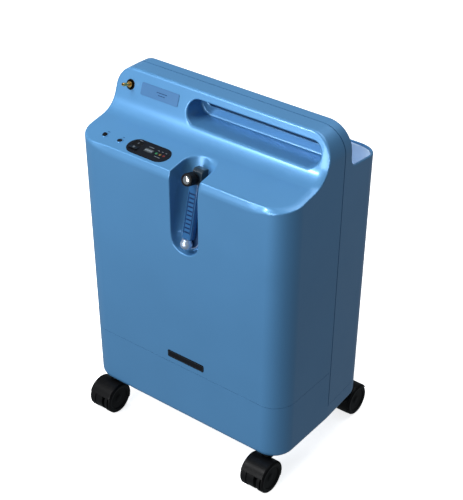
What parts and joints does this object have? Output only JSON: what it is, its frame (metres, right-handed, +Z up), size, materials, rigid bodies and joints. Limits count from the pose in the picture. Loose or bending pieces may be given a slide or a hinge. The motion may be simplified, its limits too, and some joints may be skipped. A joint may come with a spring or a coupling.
{
  "type": "oxygen concentrator",
  "caption": "Upright home oxygen concentrator: blue plastic case on swivel casters, sloped control deck, recessed flow meter, barbed outlet, grip slot and rear pocket.",
  "frame": {"origin": "on the floor under the middle of the machine", "axes": "+Z up, +X to the right seen from the front, the control deck and flow meter face -Y"},
  "size_m": [0.3941, 0.292, 0.58],
  "materials": {
    "housing_blue": "satin moulded plastic with a fine pearl, light steel blue",
    "black_plastic": "fine-grained black moulded plastic",
    "dark_panel": "smooth near-black panel",
    "tread": "smooth black caster tread",
    "grey_plastic": "grey moulded plastic",
    "pale_label": "printed film without words",
    "brass": "machined brass",
    "bright_chrome": "polished plate",
    "steel": "plain steel",
    "alloy": "cast and drawn aluminium",
    "clear_acrylic": "clear acrylic block",
    "green_lens": "tinted lens",
    "amber_lens": "tinted lens",
    "red_lens": "tinted lens",
    "filter_foam": "open-cell foam",
    "board_green": "circuit board",
    "clear_hose": "soft translucent hose",
    "mount_rubber": "soft black rubber"
  },
  "bodies": {
    "housing": {"base_pan": "housing_blue", "front_shell": "housing_blue", "rear_shell": "housing_blue", "control_panel": "dark_panel", "hour_meter": "grey_plastic", "lamp_green": "green_lens", "lamp_amber": "amber_lens", "lamp_red": "red_lens", "indicator_lens": "dark_panel", "label_plate": "pale_label", "badge_plate": "dark_panel", "outlet_cup": "black_plastic", "outlet_barb": "brass", "meter_backplate": "housing_blue", "meter_tube": "clear_acrylic", "meter_head": "grey_plastic", "meter_foot": "bright_chrome", "intake_filter": "filter_foam", "exhaust_grille": "black_plastic", "mains_inlet": "black_plastic", "compressor_body": "alloy", "compressor_head_l": "steel", "compressor_head_r": "steel", "isolator_front": "mount_rubber", "isolator_rear": "mount_rubber", "sieve_bed_l": "alloy", "sieve_bed_r": "alloy", "product_tank": "grey_plastic", "valve_manifold": "alloy", "muffler": "black_plastic", "cooler_coil": "steel", "fan_shroud": "black_plastic", "chassis_plate": "steel", "control_board": "board_green", "product_hose": "clear_hose"},
    "filter_door": {"filter_door": "housing_blue"},
    "power_rocker": {"power_rocker": "black_plastic"},
    "reset_button": {"reset_button": "black_plastic"},
    "meter_float": {"meter_float": "steel"},
    "flow_knob": {"flow_knob": "black_plastic", "knob_cap": "bright_chrome", "valve_stem": "brass"},
    "fan_rotor": {"fan_rotor": "grey_plastic"},
    "caster_fl": {"caster_hood_fl": "black_plastic", "caster_axle_fl": "steel"},
    "caster_wheel_fl_l": {"caster_wheel_fl_l": "tread"},
    "caster_wheel_fl_r": {"caster_wheel_fl_r": "tread"},
    "caster_fr": {"caster_hood_fr": "black_plastic", "caster_axle_fr": "steel"},
    "caster_wheel_fr_l": {"caster_wheel_fr_l": "tread"},
    "caster_wheel_fr_r": {"caster_wheel_fr_r": "tread"},
    "caster_rl": {"caster_hood_rl": "black_plastic", "caster_axle_rl": "steel"},
    "caster_wheel_rl_l": {"caster_wheel_rl_l": "tread"},
    "caster_wheel_rl_r": {"caster_wheel_rl_r": "tread"},
    "caster_rr": {"caster_hood_rr": "black_plastic", "caster_axle_rr": "steel"},
    "caster_wheel_rr_l": {"caster_wheel_rr_l": "tread"},
    "caster_wheel_rr_r": {"caster_wheel_rr_r": "tread"}
  },
  "joints": [
    {"name": "caster_swivel_fl", "type": "hinge", "parent": "housing", "child": "caster_fl", "pos_m": [-0.157, -0.1, 0.073], "axis": [0, 0, 1], "continuous": true},
    {"name": "wheel_roll_fl_l", "type": "hinge", "parent": "caster_fl", "child": "caster_wheel_fl_l", "pos_m": [-0.173, -0.12, 0.026], "axis": [1, 0, 0], "continuous": true},
    {"name": "wheel_roll_fl_r", "type": "hinge", "parent": "caster_fl", "child": "caster_wheel_fl_r", "pos_m": [-0.141, -0.12, 0.026], "axis": [1, 0, 0], "continuous": true},
    {"name": "caster_swivel_fr", "type": "hinge", "parent": "housing", "child": "caster_fr", "pos_m": [0.157, -0.1, 0.073], "axis": [0, 0, 1], "continuous": true},
    {"name": "wheel_roll_fr_l", "type": "hinge", "parent": "caster_fr", "child": "caster_wheel_fr_l", "pos_m": [0.141, -0.12, 0.026], "axis": [1, 0, 0], "continuous": true},
    {"name": "wheel_roll_fr_r", "type": "hinge", "parent": "caster_fr", "child": "caster_wheel_fr_r", "pos_m": [0.173, -0.12, 0.026], "axis": [1, 0, 0], "continuous": true},
    {"name": "caster_swivel_rl", "type": "hinge", "parent": "housing", "child": "caster_rl", "pos_m": [-0.157, 0.1, 0.073], "axis": [0, 0, 1], "continuous": true},
    {"name": "wheel_roll_rl_l", "type": "hinge", "parent": "caster_rl", "child": "caster_wheel_rl_l", "pos_m": [-0.173, 0.12, 0.026], "axis": [1, 0, 0], "continuous": true},
    {"name": "wheel_roll_rl_r", "type": "hinge", "parent": "caster_rl", "child": "caster_wheel_rl_r", "pos_m": [-0.141, 0.12, 0.026], "axis": [1, 0, 0], "continuous": true},
    {"name": "caster_swivel_rr", "type": "hinge", "parent": "housing", "child": "caster_rr", "pos_m": [0.157, 0.1, 0.073], "axis": [0, 0, 1], "continuous": true},
    {"name": "wheel_roll_rr_l", "type": "hinge", "parent": "caster_rr", "child": "caster_wheel_rr_l", "pos_m": [0.141, 0.12, 0.026], "axis": [1, 0, 0], "continuous": true},
    {"name": "wheel_roll_rr_r", "type": "hinge", "parent": "caster_rr", "child": "caster_wheel_rr_r", "pos_m": [0.173, 0.12, 0.026], "axis": [1, 0, 0], "continuous": true},
    {"name": "filter_door_hinge", "type": "hinge", "parent": "housing", "child": "filter_door", "pos_m": [-0.06, 0.12114, 0.2406], "axis": [-1, 0, 0], "range_deg": [0, 100]},
    {"name": "power_rocker_pivot", "type": "hinge", "parent": "housing", "child": "power_rocker", "pos_m": [-0.095, -0.09861, 0.50724], "axis": [1, 0, 0], "range_deg": [0, 14]},
    {"name": "reset_button_press", "type": "slide", "parent": "housing", "child": "reset_button", "axis": [0, 0.1867, -0.9824], "range_m": [0, 0.002], "stiffness_N_per_m": 400},
    {"name": "meter_float_rise", "type": "slide", "parent": "housing", "child": "meter_float", "axis": [0, 0.2419, 0.9703], "range_m": [0, 0.068]},
    {"name": "flow_knob_turn", "type": "hinge", "parent": "housing", "child": "flow_knob", "pos_m": [0.013, -0.10714, 0.49221], "axis": [0, -0.9703, 0.2419], "range_deg": [0, 1080]},
    {"name": "fan_spin", "type": "hinge", "parent": "housing", "child": "fan_rotor", "pos_m": [-0.085, -0.0488, 0.29], "axis": [0, 1, 0], "continuous": true}
  ]
}
